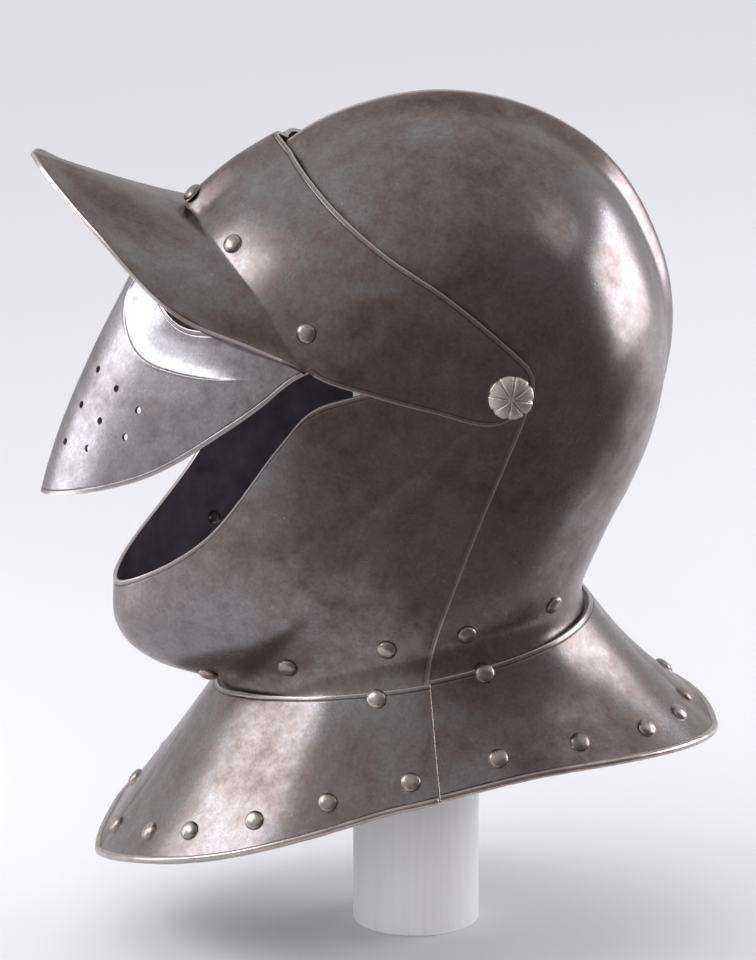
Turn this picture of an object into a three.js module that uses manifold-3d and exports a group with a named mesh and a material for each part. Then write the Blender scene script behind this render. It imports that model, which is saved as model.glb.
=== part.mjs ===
// A savoyard helmet on a plain round post, in millimetres.
// The helmet faces -X, the wearer's left is -Y and +Z is up. The origin is the middle of the post's base.
import * as THREE from 'three';
import Module from 'manifold-3d';

const wasm = await Module();
wasm.setup();

// Driving sizes
const PLATE = 1.8;
const THIN_PLATE = 1.6;
const PIVOT = { x: 34, z: 282.5 };
const PIN_RADIUS = 3.2;
const PIN_CLEARANCE = 0.4;
const RIVET_RADIUS = 4.7;
const RIVET_HEIGHT = 2.6;
const SEAT_GAP = 0.45;
const BREATH_RADIUS = 1.7;
const COMB_HALF = 15;
const POST_RADIUS = 29;
const POST_TOP = 393.1;
const NECK = { x: -8, z: 135.2, slope: 0.223 };
const FLARE = 8;
const THROAT_FLARE = 2.4;
const FLARE_RISE = 16;

// Plates round the pivot axis. Columns: angle from the rear, radius in the middle plane, power, comb height.
const SKULL = {
  half: 90,
  rows: [
    [-116, 222, 1.9, 0], [-104, 213, 1.9, 0], [-90, 180, 1.95, 0], [-73, 131, 2, 0],
    [-60.5, 107, 2.05, 0], [-47.4, 95, 2.1, 0], [-32, 87, 2.15, 0], [-16, 82.4, 2.2, 1.5],
    [6.7, 80.8, 2.2, 4.5], [33.6, 84.7, 2.2, 6.5], [57.7, 94.6, 2.2, 7], [80, 104.2, 2.2, 7],
    [99, 113.1, 2.2, 7], [116.5, 120.9, 2.2, 7], [134, 128.7, 2.2, 6.5], [150, 132.2, 2.2, 5],
    [160, 133, 2.2, 3.5],
  ],
};
const BEVOR = {
  half: 93.1,
  rows: [
    [150, 168, 1.9, 0], [172, 170, 1.9, 0], [187, 178, 1.9, 0], [205, 193, 1.82, 0],
    [213, 207.5, 1.8, 0], [217, 217.5, 1.8, 0], [219.6, 220.5, 1.8, 0], [222.1, 220, 1.8, 0],
    [225.3, 217, 1.8, 0], [229, 212.5, 1.8, 0], [233.4, 210, 1.8, 0], [238, 215, 1.8, 0],
    [245, 222, 1.85, 0], [254, 224, 1.9, 0], [264, 213, 1.9, 0],
  ],
};
const GUARD = {
  half: 95.5,
  nose: 1.5,
  rows: [
    [150, 160, 2.4, 0], [160, 163.5, 2.4, 0], [168.6, 168.5, 2.4, 0], [175.8, 175.9, 2.4, 0],
    [183.6, 187.3, 2.4, 0], [191.5, 202.6, 2.4, 0], [198.7, 218.8, 2.4, 0], [205, 235, 2.4, 0],
  ],
};
const BAND = {
  half: 98,
  rows: [
    [60, 114, 2.2, 3], [100, 123, 2.2, 4], [120, 129, 2.2, 4], [134.6, 137.2, 2.2, 4],
    [145, 145, 2.2, 4], [154.8, 152.5, 2.2, 4], [165, 160, 2.2, 4], [176, 168, 2.2, 4],
    [200, 175, 2.2, 4],
  ],
};

// Plate edges. Columns: radius from the pivot axis and angle, from the tab behind the pivot to the middle.
const BAND_UPPER = [[12.5, 330], [12.6, 60], [28.8, 117.6], [56.8, 129.3], [85.7, 132.7], [112.8, 134.9],
  [137.2, 134.6]];
const BAND_LOWER = [[12.5, 330], [15, 240], [36.7, 186.6], [63.8, 179.4], [93.7, 173.2], [121.9, 160.2],
  [152.6, 154.9]];
const GUARD_UPPER = [[11, 345], [11, 75], [40, 150], [75, 158], [115, 166], [150, 171.8], [167.5, 166]];
const GUARD_LOWER = [[11, 345], [12, 255], [40, 190], [80, 174.5], [118.8, 188.2], [168.7, 196.3],
  [219, 198.8]];
const BEVOR_UPPER = [[15, 350], [12, 80], [40, 165], [76.9, 183.5], [108.6, 196.7], [155.7, 209.8],
  [207.5, 213]];
const BEVOR_SEAM = [[15, 350], [20, 293], [37, 265.8], [62.3, 259.2], [84.1, 257.1], [122.7, 255.7],
  [149.6, 256.4]];

// Rim of the peak from its point to the side. Columns: x, half width, z.
const PEAK_RIM = [[-176.5, 0, 375.5], [-172.2, 16.4, 371.8], [-161, 36, 361], [-150, 52.7, 351],
  [-137, 67, 337.7], [-123, 75, 324.5], [-107, 80, 315.2], [-84.4, 84.5, 306.5], [-62, 86.5, 296]];

// Lower edge of the collars. Columns: angle from the front round the neck, height.
const COLLAR_EDGE = [[0, 36], [10, 40.5], [20, 46], [40, 56], [60, 69], [80, 82], [97, 90], [120, 99],
  [140, 100], [160, 97], [180, 91]];
const COLLAR_FRONT = 140;
const COLLAR_SIDE = 101;
const COLLAR_REAR = 147;
const COLLAR_CLEARANCE = 2.4;
const BEAD = { from: 0.94, length: 0.08, rise: 1.3, depth: 4 };
const COLLAR_HOLLOW = { front: 2.5, rear: 4.5 };
const FRONT_SEAM = 97.1;
const REAR_SEAM = 97.7;

const rad = THREE.MathUtils.degToRad;
const deg = THREE.MathUtils.radToDeg;
const mix = THREE.MathUtils.lerp;
const smooth = THREE.MathUtils.smoothstep;
const group = new THREE.Group();

function addMesh(name, geometry) {
  const mesh = new THREE.Mesh(geometry, new THREE.MeshStandardMaterial());
  mesh.name = name;
  group.add(mesh);
}

// A smooth value from a table, with the first column as the key.
function sample(rows, key) {
  const last = rows.length - 1;
  const at = THREE.MathUtils.clamp(key, rows[0][0], rows[last][0]);
  let i = 0;
  while (i < last - 1 && rows[i + 1][0] <= at) i += 1;
  const slope = (k, column) => {
    const a = rows[Math.max(k - 1, 0)];
    const b = rows[Math.min(k + 1, last)];
    return (b[column] - a[column]) / (b[0] - a[0]);
  };
  const span = rows[i + 1][0] - rows[i][0];
  const t = (at - rows[i][0]) / span;
  return rows[i].map((value, column) => {
    const start = (2 * t ** 3 - 3 * t ** 2 + 1) * value + (t ** 3 - 2 * t ** 2 + t) * span * slope(i, column);
    const next = rows[i + 1][column];
    const end = (3 * t ** 2 - 2 * t ** 3) * next + (t ** 3 - t ** 2) * span * slope(i + 1, column);
    return start + end;
  });
}

function polar(plate, x, z) {
  const radius = Math.hypot(x - PIVOT.x, z - PIVOT.z);
  const first = plate.rows[0][0] - 30;
  const angle = deg(Math.atan2(z - PIVOT.z, x - PIVOT.x));
  return { radius, angle: first + THREE.MathUtils.euclideanModulo(angle - first, 360) };
}

function aroundPivot(radius, angle) {
  return new THREE.Vector2(PIVOT.x + radius * Math.cos(rad(angle)), PIVOT.z + radius * Math.sin(rad(angle)));
}

// Half width of a plate over a point of the side view.
function halfWidth(plate, x, z) {
  const { radius, angle } = polar(plate, x, z);
  const [, reach, power] = sample(plate.rows, angle);
  const q = radius / reach;
  if (q > 1 - 1e-7) return 0;
  return plate.half * (1 - q ** power) ** (1 / (plate.nose ?? power));
}

function neckHeight(x) {
  return NECK.z + NECK.slope * (x - NECK.x);
}

// The plates flare out less at the throat than at the sides of the neck.
function flareAt(x, y) {
  const around = deg(Math.atan2(Math.abs(y), NECK.x - x));
  return mix(THROAT_FLARE, FLARE, smooth(around, 15, 60));
}

// The left half's point of a plate over a point of the side view, with its comb and its flare at the neck.
function lift(plate, flat) {
  const { radius, angle } = polar(plate, flat.x, flat.y);
  const point = new THREE.Vector3(flat.x, -halfWidth(plate, flat.x, flat.y), flat.y);
  const comb = sample(plate.rows, angle)[3];
  if (comb > 0 && -point.y < COMB_HALF) {
    const rise = comb * 0.5 * (1 + Math.cos(Math.PI * point.y / COMB_HALF));
    point.x += rise * (flat.x - PIVOT.x) / radius;
    point.z += rise * (flat.y - PIVOT.z) / radius;
  }
  const above = flat.y - neckHeight(flat.x);
  if (above < FLARE_RISE) {
    const out = new THREE.Vector2(point.x - NECK.x, point.y).normalize();
    const spread = flareAt(point.x, point.y) * (1 - above / FLARE_RISE) ** 2;
    point.x += spread * out.x;
    point.y += spread * out.y;
  }
  return point;
}

function edgeCurve(table) {
  const points = table.map(([radius, angle]) => {
    const flat = aroundPivot(radius, angle);
    return new THREE.Vector3(flat.x, flat.y, 0);
  });
  const curve = new THREE.CatmullRomCurve3(points, false, 'centripetal');
  return (t) => {
    const point = curve.getPoint(t);
    return new THREE.Vector2(point.x, point.y);
  };
}

// A patch of the side view between two edges from one tab to an outer edge.
function patch(upper, lower, outer) {
  const first = upper(1);
  const last = lower(1);
  return (u, t) => {
    const side = upper(t).lerp(lower(t), u);
    const chord = first.clone().lerp(last, u);
    return side.add(outer(u).sub(chord).multiplyScalar(t));
  };
}

// A sheet is points and triangles. Both halves are made from the left one and welded in the middle.
function bothHalves(surface, columns, rows) {
  const points = [];
  const triangles = [];
  const known = new Map();
  const index = (point) => {
    if (Math.abs(point.y) < 0.02) point.y = 0;
    const key = [point.x, point.y, point.z].map((value) => Math.round(value * 200)).join();
    if (!known.has(key)) known.set(key, points.push(point) - 1);
    return known.get(key);
  };
  for (const side of [1, -1]) {
    const grid = [];
    for (let i = 0; i <= columns; i += 1) {
      grid.push([]);
      for (let j = 0; j <= rows; j += 1) {
        const point = surface(i / columns, j / rows);
        grid[i].push(index(new THREE.Vector3(point.x, point.y * side, point.z)));
      }
    }
    for (let i = 0; i < columns; i += 1) {
      for (let j = 0; j < rows; j += 1) {
        const [a, b, c, d] = [grid[i][j], grid[i + 1][j], grid[i + 1][j + 1], grid[i][j + 1]];
        for (const [k, l, m] of [[a, b, c], [a, c, d]]) {
          if (k !== l && l !== m && m !== k) triangles.push(side > 0 ? [k, l, m] : [k, m, l]);
        }
      }
    }
  }
  return { points, triangles };
}

function pointNormals({ points, triangles }) {
  const normals = points.map(() => new THREE.Vector3());
  for (const corners of triangles) {
    const [a, b, c] = corners.map((k) => points[k]);
    const normal = b.clone().sub(a).cross(c.clone().sub(a));
    for (const k of corners) normals[k].add(normal);
  }
  return normals.map((normal) => normal.normalize());
}

// A sheet made into a closed plate. The thickness is a number, or a function of the point.
function plateSolid(sheet, thickness = PLATE) {
  const { points } = sheet;
  let { triangles } = sheet;
  let normals = pointNormals(sheet);
  const outward = points.reduce((sum, point, k) => sum + normals[k].y * Math.sign(point.y), 0);
  if (outward < 0) {
    triangles = triangles.map(([a, b, c]) => [a, c, b]);
    normals = normals.map((normal) => normal.negate());
  }
  const count = points.length;
  const depth = typeof thickness === 'function' ? thickness : () => thickness;
  const inner = points.map((point, k) => point.clone().addScaledVector(normals[k], -depth(point)));
  const faces = [];
  const edges = new Map();
  for (const [a, b, c] of triangles) {
    faces.push([a, b, c], [a + count, c + count, b + count]);
    for (const [k, l] of [[a, b], [b, c], [c, a]]) edges.set(`${k},${l}`, [k, l]);
  }
  for (const [k, l] of edges.values()) {
    if (!edges.has(`${l},${k}`)) faces.push([l, k, k + count], [l, k + count, l + count]);
  }
  const geometry = new THREE.BufferGeometry();
  const flat = [...points, ...inner].flatMap((point) => point.toArray());
  geometry.setAttribute('position', new THREE.Float32BufferAttribute(flat, 3));
  geometry.setIndex(faces.flat());
  return geometry;
}

function toManifold(geometry) {
  const mesh = new wasm.Mesh({
    numProp: 3,
    vertProperties: new Float32Array(geometry.attributes.position.array),
    triVerts: new Uint32Array(geometry.index.array),
  });
  return new wasm.Manifold(mesh);
}

// Cut shapes out of a plate, after joining another plate to it if there is one.
function cut(geometry, tools, joined) {
  const plate = joined ? toManifold(geometry).add(toManifold(joined)) : toManifold(geometry);
  const result = plate.subtract(wasm.Manifold.union(tools));
  const mesh = result.getMesh();
  const cutGeometry = new THREE.BufferGeometry();
  cutGeometry.setAttribute('position', new THREE.BufferAttribute(new Float32Array(mesh.vertProperties), 3));
  cutGeometry.setIndex(new THREE.BufferAttribute(new Uint32Array(mesh.triVerts), 1));
  return cutGeometry;
}

// A round cutter centred on a point, along a direction.
function cutter(radius, length, sides, point, direction) {
  const turn = new THREE.Quaternion().setFromUnitVectors(new THREE.Vector3(0, 0, 1), direction);
  const place = new THREE.Matrix4().compose(point, turn, new THREE.Vector3(1, 1, 1));
  return wasm.Manifold.cylinder(length, radius, radius, sides, true).transform(place.toArray());
}

function pivotHoles() {
  const across = new THREE.Vector3(0, 1, 0);
  return [-1, 1].map((side) => {
    const point = new THREE.Vector3(PIVOT.x, 90 * side, PIVOT.z);
    return cutter(PIN_RADIUS + PIN_CLEARANCE, 40, 16, point, across);
  });
}

// Rows lie closer together towards the middle, where the plates turn away.
const towardsMiddle = (t) => Math.sin(t * Math.PI / 2);

// Skull, from the brow over the crown to the nape and forward to the side seam
const skullTab = new THREE.Vector2(16, PIVOT.z);
const onNeck = (x) => new THREE.Vector2(x, neckHeight(x));
const NAPE_ANGLE = -73.6;
const SKULL_BROW = 160;
const SKULL_SEAM_X = -11;
const SKULL_BACK_SHARE = 21 / 26;

// The middle plane's outline of a plate meets the neck here.
function neckEnd(plate, from, to) {
  let [low, high] = [from, to];
  for (let k = 0; k < 40; k += 1) {
    const angle = (low + high) / 2;
    const point = aroundPivot(sample(plate.rows, angle)[1], angle);
    if (point.y > neckHeight(point.x)) low = angle;
    else high = angle;
  }
  return low;
}

const skullNape = neckEnd(SKULL, NAPE_ANGLE + 12, NAPE_ANGLE - 12);
function skullOuter(u) {
  if (u <= SKULL_BACK_SHARE) {
    const angle = mix(SKULL_BROW, skullNape, u / SKULL_BACK_SHARE);
    return aroundPivot(sample(SKULL.rows, angle)[1], angle);
  }
  const napeX = aroundPivot(sample(SKULL.rows, skullNape)[1], skullNape).x;
  return onNeck(mix(napeX, SKULL_SEAM_X, ((u - SKULL_BACK_SHARE) / (1 - SKULL_BACK_SHARE)) ** 2));
}
const skullFlat = (u, t) => skullTab.clone().lerp(skullOuter(u), t);
const skullSheet = bothHalves((u, t) => lift(SKULL, skullFlat(u, towardsMiddle(t))), 26, 9);
addMesh('skull', cut(plateSolid(skullSheet), pivotHoles()));

// Bevor, from its rim round the chin to the throat and back to the side seam
const BEVOR_RIM = 213;
const BEVOR_CHIN_SHARE = 6 / 13;
const bevorThroat = neckEnd(BEVOR, 226, 242);
function bevorOuter(u) {
  if (u <= BEVOR_CHIN_SHARE) {
    const angle = mix(BEVOR_RIM, bevorThroat, u / BEVOR_CHIN_SHARE);
    return aroundPivot(sample(BEVOR.rows, angle)[1], angle);
  }
  const throatX = aroundPivot(sample(BEVOR.rows, bevorThroat)[1], bevorThroat).x;
  const [radius, angle] = BEVOR_SEAM[BEVOR_SEAM.length - 1];
  const seamX = aroundPivot(radius, angle).x;
  return onNeck(mix(throatX, seamX, ((u - BEVOR_CHIN_SHARE) / (1 - BEVOR_CHIN_SHARE)) ** 2));
}
const bevorFlat = patch(edgeCurve(BEVOR_UPPER), edgeCurve(BEVOR_SEAM), bevorOuter);
const bevorSheet = bothHalves((u, t) => lift(BEVOR, bevorFlat(u, towardsMiddle(t))), 13, 10);
addMesh('bevor', cut(plateSolid(bevorSheet), pivotHoles()));

// The outer end of a strip lies on its plate's outline in the middle plane.
function middleEnd(plate, upperTable, lowerTable) {
  const from = upperTable[upperTable.length - 1][1];
  const to = lowerTable[lowerTable.length - 1][1];
  return (u) => {
    const angle = mix(from, to, u);
    return aroundPivot(sample(plate.rows, angle)[1], angle);
  };
}

// Flat outline of the brow band, which the peak grows out of
const bandEnd = middleEnd(BAND, BAND_UPPER, BAND_LOWER);
const bandFlat = patch(edgeCurve(BAND_UPPER), edgeCurve(BAND_LOWER), bandEnd);
const bandSheet = bothHalves((u, t) => lift(BAND, bandFlat(u, towardsMiddle(t))), 5, 16);

// Face guard with its breaths. Columns: radius from the pivot axis and angle.
const BREATHS = [[181.8, 182.6], [190.9, 187.6], [201.3, 192.4], [175, 184.2], [184.2, 188.9], [192.4, 192.6],
  [166.9, 186.6], [174.7, 190.6]];
const guardEnd = middleEnd(GUARD, GUARD_UPPER, GUARD_LOWER);
const guardFlat = patch(edgeCurve(GUARD_UPPER), edgeCurve(GUARD_LOWER), guardEnd);
const guardSheet = bothHalves((u, t) => lift(GUARD, guardFlat(u, towardsMiddle(t))), 7, 15);

// Outward direction of a plate's left half over a point of the side view.
function outwardAt(plate, flat) {
  const step = 0.4;
  const along = (dx, dz) => lift(plate, new THREE.Vector2(flat.x + dx, flat.y + dz));
  const overX = along(step, 0).sub(along(-step, 0));
  const overZ = along(0, step).sub(along(0, -step));
  return overX.cross(overZ).normalize();
}

// Outward direction of a plate's outline in the middle plane.
function middleOut(plate, angle) {
  const step = aroundPivot(sample(plate.rows, angle + 1)[1], angle + 1);
  const back = aroundPivot(sample(plate.rows, angle - 1)[1], angle - 1);
  const along = step.sub(back).normalize();
  return new THREE.Vector3(along.y, 0, -along.x);
}

const breathTools = [];
for (const [radius, angle] of BREATHS) {
  const flat = aroundPivot(radius, angle);
  const point = lift(GUARD, flat);
  const out = outwardAt(GUARD, flat);
  for (const side of [1, -1]) {
    const place = new THREE.Vector3(point.x, point.y * side, point.z);
    const direction = new THREE.Vector3(out.x, out.y * side, out.z);
    breathTools.push(cutter(BREATH_RADIUS, 10, 8, place, direction));
  }
}
addMesh('face_guard', cut(plateSolid(guardSheet, THIN_PLATE), [...pivotHoles(), ...breathTools]));

// Peak, which grows out of the band along a fold and is hollowed between the fold and its rim
const PEAK_TUCK = 4.5;
const PEAK_INSET = 0.5;
const PEAK_HOLLOW = 6;
const FOLD_START = 4 / 6;
const FOLD_SHARE = 0.25;
const rimPoints = PEAK_RIM.map(([x, y, z]) => new THREE.Vector3(x, -y, z)).reverse();
const rimCurve = new THREE.CatmullRomCurve3(rimPoints);
function insideBand(flat) {
  const point = lift(BAND, flat);
  const inMiddle = halfWidth(BAND, flat.x, flat.y) < 1;
  const out = inMiddle ? middleOut(BAND, polar(BAND, flat.x, flat.y).angle) : outwardAt(BAND, flat);
  return point.addScaledVector(out, -PEAK_INSET);
}
function peakPoint(u, t) {
  const bandRow = towardsMiddle((1 + u) / 2);
  const along = (bandRow - FOLD_START) / (1 - FOLD_START);
  const fold = bandFlat(1, bandRow);
  const { radius, angle } = polar(BAND, fold.x, fold.y);
  const q = Math.min(radius / sample(BAND.rows, angle)[1], 1);
  const tuckAngle = angle - PEAK_TUCK * smooth(along, 0.1, 0.5);
  const tuck = aroundPivot(q * sample(BAND.rows, tuckAngle)[1], tuckAngle);
  if (t < FOLD_SHARE) return insideBand(tuck).lerp(insideBand(fold), t / FOLD_SHARE);
  const share = (t - FOLD_SHARE) / (1 - FOLD_SHARE);
  const point = insideBand(fold).lerp(rimCurve.getPoint(along), share);
  point.z -= PEAK_HOLLOW * Math.sin(Math.PI * share) * smooth(along, 0, 0.3) * (1 - smooth(along, 0.8, 1));
  return point;
}
const peakSheet = bothHalves(peakPoint, 8, 5);
addMesh('brow_band', cut(plateSolid(bandSheet), pivotHoles(), plateSolid(peakSheet, THIN_PLATE)));

// Collars. A point of the neck's ring lies this far from the neck's middle.
function ringReach(plate, around) {
  let [low, high] = [20, 140];
  for (let k = 0; k < 40; k += 1) {
    const reach = (low + high) / 2;
    const x = NECK.x - reach * Math.cos(rad(around));
    const inside = halfWidth(plate, x, neckHeight(x)) > reach * Math.sin(rad(around)) + 1e-9;
    if (inside) low = reach;
    else high = reach;
  }
  return low;
}

function edgeReach(around) {
  const along = around < 90 ? COLLAR_FRONT : COLLAR_REAR;
  const power = 2.2;
  const ahead = Math.abs(Math.cos(rad(around)) / along);
  const aside = Math.abs(Math.sin(rad(around)) / COLLAR_SIDE);
  return (ahead ** power + aside ** power) ** (-1 / power);
}

function collarPoint(plate, around, down) {
  const radial = new THREE.Vector2(-Math.cos(rad(around)), -Math.sin(rad(around)));
  const ring = ringReach(plate, around);
  const topReach = ring + flareAt(NECK.x + radial.x, radial.y) + COLLAR_CLEARANCE;
  const topHeight = neckHeight(NECK.x + radial.x * ring) + mix(0.4, 2.5, smooth(around, 4, 24));
  const top = new THREE.Vector3(NECK.x + radial.x * topReach, radial.y * topReach, topHeight);
  const reach = edgeReach(around);
  const edge = new THREE.Vector3(NECK.x + radial.x * reach, radial.y * reach, sample(COLLAR_EDGE, around)[1]);
  const point = top.lerp(edge, down);
  const depth = mix(COLLAR_HOLLOW.front, COLLAR_HOLLOW.rear, smooth(around, 90, 140));
  const hollow = -depth * Math.sin(Math.PI * down);
  const bead = BEAD.rise * Math.sin(Math.PI * Math.max(down - BEAD.from, 0) / BEAD.length);
  point.x += radial.x * (hollow + bead);
  point.y += radial.y * (hollow + bead);
  return point;
}

const COLLAR_ROWS = [0, 0.12, 0.3, 0.5, 0.72, 0.93, 0.97, 1];
const collarRow = (t) => COLLAR_ROWS[Math.round(t * (COLLAR_ROWS.length - 1))];
function beadDepth(point) {
  const around = deg(Math.atan2(Math.abs(point.y), NECK.x - point.x));
  return point.z < sample(COLLAR_EDGE, around)[1] + 2.6 ? BEAD.depth : PLATE;
}

const frontCollar = (u, t) => collarPoint(BEVOR, mix(0, FRONT_SEAM, u), collarRow(t));
const rearCollar = (u, t) => collarPoint(SKULL, mix(REAR_SEAM, 180, u), collarRow(t));
const collarSolid = (surface) => plateSolid(bothHalves(surface, 12, COLLAR_ROWS.length - 1), beadDepth);
addMesh('front_collar', collarSolid(frontCollar));
addMesh('rear_collar', collarSolid(rearCollar));

// Rivets. Each head is a low dome seated on its plate.
function rivetHead(name, point, out) {
  const profile = [[0, 0], [1, 0], [0.92, 0.45], [0.55, 0.88], [0, 1]];
  const outline = profile.map(([r, h]) => new THREE.Vector2(r * RIVET_RADIUS, h * RIVET_HEIGHT));
  const head = new THREE.LatheGeometry(outline, 8);
  const turn = new THREE.Quaternion().setFromUnitVectors(new THREE.Vector3(0, 1, 0), out);
  head.applyQuaternion(turn);
  head.translate(...point.clone().addScaledVector(out, SEAT_GAP).toArray());
  addMesh(name, head);
}

const mirrored = (v) => new THREE.Vector3(v.x, -v.y, v.z);
function rivetPair(name, point, out) {
  rivetHead(`${name}_left`, point, out);
  rivetHead(`${name}_right`, mirrored(point), mirrored(out));
}

function plateRivet(name, plate, radius, angle, raise = 0) {
  const flat = aroundPivot(radius, angle);
  const out = outwardAt(plate, flat);
  rivetPair(name, lift(plate, flat).addScaledVector(out, raise), out);
}

function middleRivet(name, plate, angle) {
  const [, reach, , comb] = sample(plate.rows, angle);
  const flat = aroundPivot(reach + comb, angle);
  rivetHead(name, new THREE.Vector3(flat.x, 0, flat.y), middleOut(plate, angle));
}

middleRivet('band_rivet_middle', BAND, 152.6);
plateRivet('band_rivet_front', BAND, 136.4, 153.8);
plateRivet('band_rivet_side', BAND, 96, 163.2);
plateRivet('bevor_rivet_1', BEVOR, 202.2, 229.2);
plateRivet('bevor_rivet_2', BEVOR, 172.9, 235.6, 0.8);
plateRivet('bevor_rivet_3', BEVOR, 139.7, 247.3);
plateRivet('skull_rivet_side', SKULL, 124, -98);
plateRivet('skull_rivet_rear', SKULL, 118, -78, 0.5);

// The right cheek of the bevor has one more rivet.
const cheek = aroundPivot(161.4, 220.4);
const cheekPoint = lift(BEVOR, cheek);
const cheekOut = outwardAt(BEVOR, cheek);
rivetHead('bevor_rivet_cheek', mirrored(cheekPoint), mirrored(cheekOut));

// Collar rivets. Columns: angle round the neck and share of the way down.
function collarRivet(name, plate, around, down, pair = true) {
  const at = (a, d) => collarPoint(plate, a, d);
  const point = at(around, down);
  const overAround = at(around + 0.5, down).sub(at(around - 0.5, down));
  const overDown = at(around, down + 0.01).sub(at(around, down - 0.01));
  const out = overDown.cross(overAround).normalize();
  if (out.dot(new THREE.Vector3(point.x - NECK.x, point.y, 0)) < 0) out.negate();
  if (pair) rivetPair(name, point, out);
  else {
    point.y = 0;
    out.y = 0;
    rivetHead(name, point, out.normalize());
  }
}
const FRONT_ROW = [[18, 0.83], [32, 0.81], [47, 0.79], [65.5, 0.78], [88, 0.785]];
const REAR_ROW = [[165, 0.805], [151.5, 0.815], [133.5, 0.805], [112.3, 0.79]];
collarRivet('front_collar_rivet_middle', BEVOR, 0, 0.84, false);
FRONT_ROW.forEach(([around, down], k) => collarRivet(`front_collar_rivet_${k + 1}`, BEVOR, around, down));
collarRivet('front_collar_rivet_top', BEVOR, 77, 0.06);
collarRivet('rear_collar_rivet_middle', SKULL, 180, 0.795, false);
REAR_ROW.forEach(([around, down], k) => collarRivet(`rear_collar_rivet_${k + 1}`, SKULL, around, down));
collarRivet('rear_collar_rivet_top', SKULL, 115, 0.06);

// Pivots: a scalloped head, a pin through the plates and a closed inner end
const ROSETTE_RADIUS = 10.5;
const ROSETTE_PETALS = 8;
function rosette(name, side) {
  const seat = BAND.half + SEAT_GAP;
  const inner = SKULL.half - PLATE - 2 * SEAT_GAP;
  const dome = [[0, seat + 4.6], [2.6, seat + 4.2], [4, seat + 2.8], [7.5, seat + 2.6]];
  const rim = [[ROSETTE_RADIUS, seat + 0.8], [ROSETTE_RADIUS, seat], [PIN_RADIUS, seat]];
  const end = [[PIN_RADIUS, inner], [6, inner], [5, inner - 1.6], [0, inner - 2]];
  const profile = [...dome, ...rim, ...end];
  const outline = profile.map(([r, h]) => new THREE.Vector2(r, h)).reverse();
  const head = new THREE.LatheGeometry(outline, ROSETTE_PETALS * 4);
  const place = head.attributes.position;
  for (let k = 0; k < place.count; k += 1) {
    const [x, y, z] = [place.getX(k), place.getY(k), place.getZ(k)];
    if (Math.hypot(x, z) > 7 && y > seat - 0.1) {
      const grow = 1 + 0.07 * Math.cos(ROSETTE_PETALS * Math.atan2(z, x));
      place.setXYZ(k, x * grow, y, z * grow);
    }
  }
  if (side < 0) head.rotateZ(Math.PI);
  head.translate(PIVOT.x, 0, PIVOT.z);
  addMesh(name, head);
}
rosette('rosette_left', -1);
rosette('rosette_right', 1);

// Post with a domed top inside the crown
const postProfile = [[0, 0], [POST_RADIUS, 0], [POST_RADIUS, POST_TOP - 15], [POST_RADIUS - 3, POST_TOP - 10],
  [POST_RADIUS - 12, POST_TOP - 3], [0, POST_TOP]];
const post = new THREE.LatheGeometry(postProfile.map(([r, h]) => new THREE.Vector2(r, h)), 40);
post.rotateX(Math.PI / 2);
addMesh('stand_post', post);

export default group;
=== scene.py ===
# A savoyard helmet of dark patinated steel on a white painted post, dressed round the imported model.
import math

import bmesh
import bpy
from mathutils import Matrix, Vector, noise


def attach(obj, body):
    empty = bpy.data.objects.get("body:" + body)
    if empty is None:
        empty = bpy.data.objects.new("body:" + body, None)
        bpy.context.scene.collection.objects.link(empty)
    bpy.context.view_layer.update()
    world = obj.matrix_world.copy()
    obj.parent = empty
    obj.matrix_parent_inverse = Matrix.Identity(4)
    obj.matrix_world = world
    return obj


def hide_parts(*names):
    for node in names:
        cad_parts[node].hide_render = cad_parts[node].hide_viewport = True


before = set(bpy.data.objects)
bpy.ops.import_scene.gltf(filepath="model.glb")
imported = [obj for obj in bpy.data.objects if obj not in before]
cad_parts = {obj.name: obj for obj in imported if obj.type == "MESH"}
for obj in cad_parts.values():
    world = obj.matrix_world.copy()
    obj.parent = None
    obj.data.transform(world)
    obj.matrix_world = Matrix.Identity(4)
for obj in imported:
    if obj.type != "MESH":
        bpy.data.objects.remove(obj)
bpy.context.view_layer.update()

# Sizes in millimetres, as in the solids. The helmet faces -X, the wearer's left is -Y and +Z is up.
MM = 0.001
PLATE = 1.8
PIVOT = Vector((34.0, 282.5))
COMB_HALF = 15.0
NECK_X, NECK_Z, NECK_SLOPE = -8.0, 135.2, 0.223
FLARE, THROAT_FLARE, FLARE_RISE = 8.0, 2.4, 16.0
RIVET_RADIUS, RIVET_HEIGHT = 4.7, 2.7
BREATH_RADIUS = 1.7
POST_RADIUS, POST_TOP = 29.0, 393.0

# Plates round the pivot axis. Columns: angle from the rear, radius in the middle plane, power, comb height.
SKULL = {
    "half": 90.0,
    "rows": [
        (-116, 222, 1.9, 0), (-104, 213, 1.9, 0), (-90, 180, 1.95, 0), (-73, 131, 2, 0),
        (-60.5, 107, 2.05, 0), (-47.4, 95, 2.1, 0), (-32, 87, 2.15, 0), (-16, 82.4, 2.2, 1.5),
        (6.7, 80.8, 2.2, 4.2), (33.6, 84.7, 2.2, 5.4), (57.7, 94.6, 2.2, 5.5), (80, 104.2, 2.2, 5.3),
        (99, 113.1, 2.2, 5.2), (116.5, 120.9, 2.2, 5), (134, 126.8, 2.2, 6.1), (150, 129.6, 2.2, 5.2),
        (160, 130.2, 2.2, 4.4),
    ],
}
BEVOR = {
    "half": 93.1,
    "rows": [
        (150, 168, 1.9, 0), (172, 170, 1.9, 0), (187, 178, 1.9, 0), (205, 193, 1.82, 0),
        (213, 207.5, 1.8, 0), (217, 217.5, 1.8, 0), (219.6, 220.5, 1.8, 0), (222.1, 220, 1.8, 0),
        (225.3, 216.4, 1.88, 0), (229.5, 208.8, 2, 0), (233, 204.3, 2, 0), (238, 214, 1.85, 0),
        (245, 222, 1.85, 0), (254, 224, 1.9, 0), (264, 213, 1.9, 0),
    ],
}
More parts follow.
